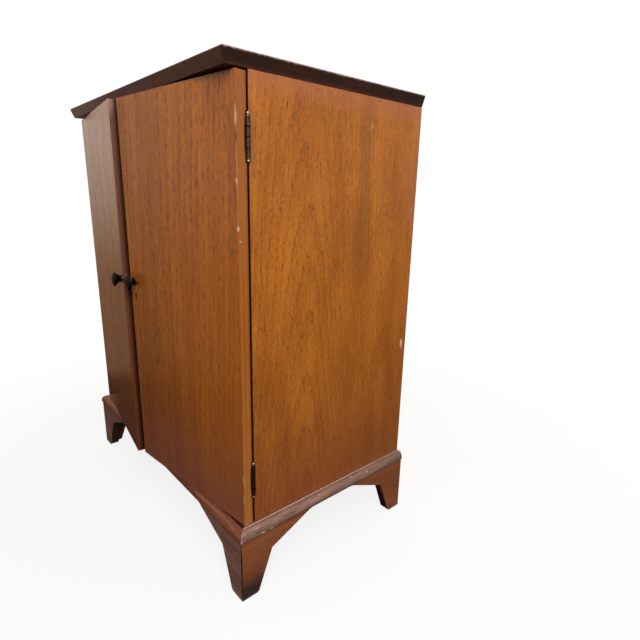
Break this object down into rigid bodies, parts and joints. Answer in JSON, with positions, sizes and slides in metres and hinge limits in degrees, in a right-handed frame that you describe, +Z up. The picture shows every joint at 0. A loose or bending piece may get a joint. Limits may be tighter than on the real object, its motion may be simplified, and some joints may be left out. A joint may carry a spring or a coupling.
{
  "type": "flip-top bar cabinet",
  "caption": "Small walnut cupboard on bracket feet, with hinged doors, turned knobs, a lock, an inner shelf and a bar well under a lid that flips up on a slotted stay.",
  "frame": {"origin": "on the floor, under the middle of the whole object's box with the doors ajar as drawn", "axes": "+X to the right of someone facing the doors, +Y from the doors to the back, +Z up"},
  "size_m": [0.653, 0.4271, 0.787],
  "materials": {
    "walnut_veneer": "satin lacquered walnut veneer",
    "espresso_wood": "dark brown stained and lacquered solid wood",
    "stained_walnut": "stained and lacquered walnut, worn at the edges",
    "inside_ply": "lacquered birch plywood",
    "laminate": "black bar-top laminate",
    "dark_steel": "darkened steel",
    "nickel": "nickel plate, polished",
    "zinc_steel": "zinc-plated steel",
    "black_lacquer": "ebonised turned wood, gloss lacquer"
  },
  "bodies": {
    "case": {"side_panel_left": "walnut_veneer", "side_panel_right": "walnut_veneer", "case_bottom": "inside_ply", "back_panel": "inside_ply", "bar_front_board": "stained_walnut", "bar_back_board": "stained_walnut", "bar_floor_board": "inside_ply", "bar_laminate": "laminate", "shelf": "inside_ply", "shelf_supports": "zinc_steel", "base_rail_front": "stained_walnut", "base_rail_left": "stained_walnut", "base_rail_right": "stained_walnut", "base_rail_back": "stained_walnut", "foot_front_left_face": "stained_walnut", "foot_front_left_side": "stained_walnut", "foot_front_right_face": "stained_walnut", "foot_front_right_side": "stained_walnut", "foot_rear_left_side": "stained_walnut", "foot_rear_left_back": "stained_walnut", "foot_rear_right_side": "stained_walnut", "foot_rear_right_back": "stained_walnut", "foot_glue_blocks": "inside_ply", "hinge_case_leaves_left": "dark_steel", "hinge_case_leaves_right": "dark_steel", "hinge_pins_left": "nickel", "hinge_pins_right": "nickel", "lid_hinge_case_leaves": "dark_steel", "lid_hinge_pins": "nickel", "case_hinge_screws": "zinc_steel", "stay_slide_pin": "zinc_steel", "rod_keeper": "zinc_steel"},
    "lid": {"lid": "espresso_wood", "lid_hinge_leaves": "dark_steel", "lid_hinge_screws": "zinc_steel", "stay_bracket": "zinc_steel", "stay_rivet": "zinc_steel"},
    "stay_arm": {"stay_arm": "zinc_steel"},
    "door_right": {"door_panel_right": "walnut_veneer", "door_lipping_right": "walnut_veneer", "hinge_door_leaves_right": "dark_steel", "hinge_door_screws_right": "zinc_steel", "knob_right": "black_lacquer", "knob_collar_right": "dark_steel", "knob_screw_right": "zinc_steel", "lock_case": "zinc_steel"},
    "lock_bolt": {"lock_bolt": "nickel"},
    "door_left": {"door_panel_left": "walnut_veneer", "door_lipping_left": "walnut_veneer", "hinge_door_leaves_left": "dark_steel", "hinge_door_screws_left": "zinc_steel", "knob_left": "black_lacquer", "knob_collar_left": "dark_steel", "knob_screw_left": "zinc_steel", "lock_strike_plate": "zinc_steel", "rod_plate": "zinc_steel"},
    "rod": {"rod": "nickel"}
  },
  "joints": [
    {"name": "door_right_swing", "type": "hinge", "parent": "case", "child": "door_right", "pos_m": [0.313, -0.1373, 0.123], "axis": [0, 0, 1], "range_deg": [-6.3, 173.7]},
    {"name": "door_left_swing", "type": "hinge", "parent": "case", "child": "door_left", "pos_m": [-0.313, -0.1373, 0.123], "axis": [0, 0, -1], "range_deg": [-8, 172]},
    {"name": "lid_flip", "type": "hinge", "parent": "case", "child": "lid", "pos_m": [0, 0.2103, 0.76875], "axis": [-1, 0, 0], "range_deg": [0, 95]},
    {"name": "stay_arm_turn", "type": "hinge", "parent": "lid", "child": "stay_arm", "pos_m": [0.288, 0.13626, 0.75675], "axis": [-1, 0, 0], "range_deg": [-47.5, 0]},
    {"name": "lock_bolt_slide", "type": "slide", "parent": "door_right", "child": "lock_bolt", "axis": [-0.994, -0.1097, 0], "range_m": [0, 0.005]},
    {"name": "rod_slide", "type": "slide", "parent": "door_left", "child": "rod", "axis": [0, 0, -1], "range_m": [0, 0.012]}
  ],
  "couplings": [
    {"joint": "stay_arm_turn", "follows": "lid_flip", "ratio": -0.5}
  ]
}
